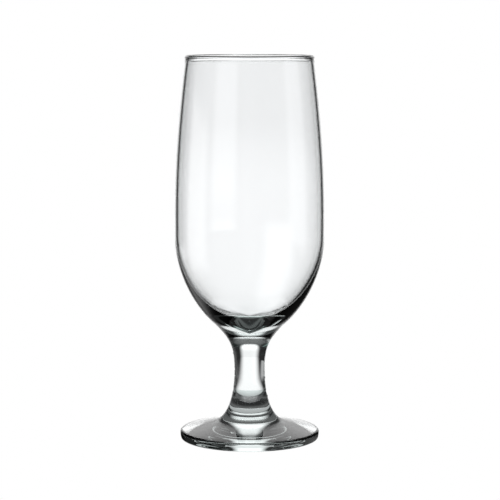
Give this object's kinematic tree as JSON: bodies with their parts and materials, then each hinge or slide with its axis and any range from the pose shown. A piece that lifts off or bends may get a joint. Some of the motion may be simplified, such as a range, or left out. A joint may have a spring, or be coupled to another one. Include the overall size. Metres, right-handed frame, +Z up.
{
  "type": "beer goblet",
  "caption": "Stemmed beer glass: a tall clear bowl with a beaded lip and a thick base, a short solid waisted stem, and a round foot.",
  "frame": {"origin": "centre of the foot's resting ring, on the surface that the glass stands on", "axes": "+Z up along the axis of the glass; X and Y are alike"},
  "size_m": [0.069, 0.069, 0.177],
  "materials": {
    "bowl_glass": "fire-polished clear glass",
    "stem_glass": "pressed clear glass with a faint mould seam",
    "foot_glass": "pressed clear glass"
  },
  "bodies": {
    "root": {"bowl": "bowl_glass", "stem": "stem_glass", "foot": "foot_glass"}
  },
  "joints": []
}
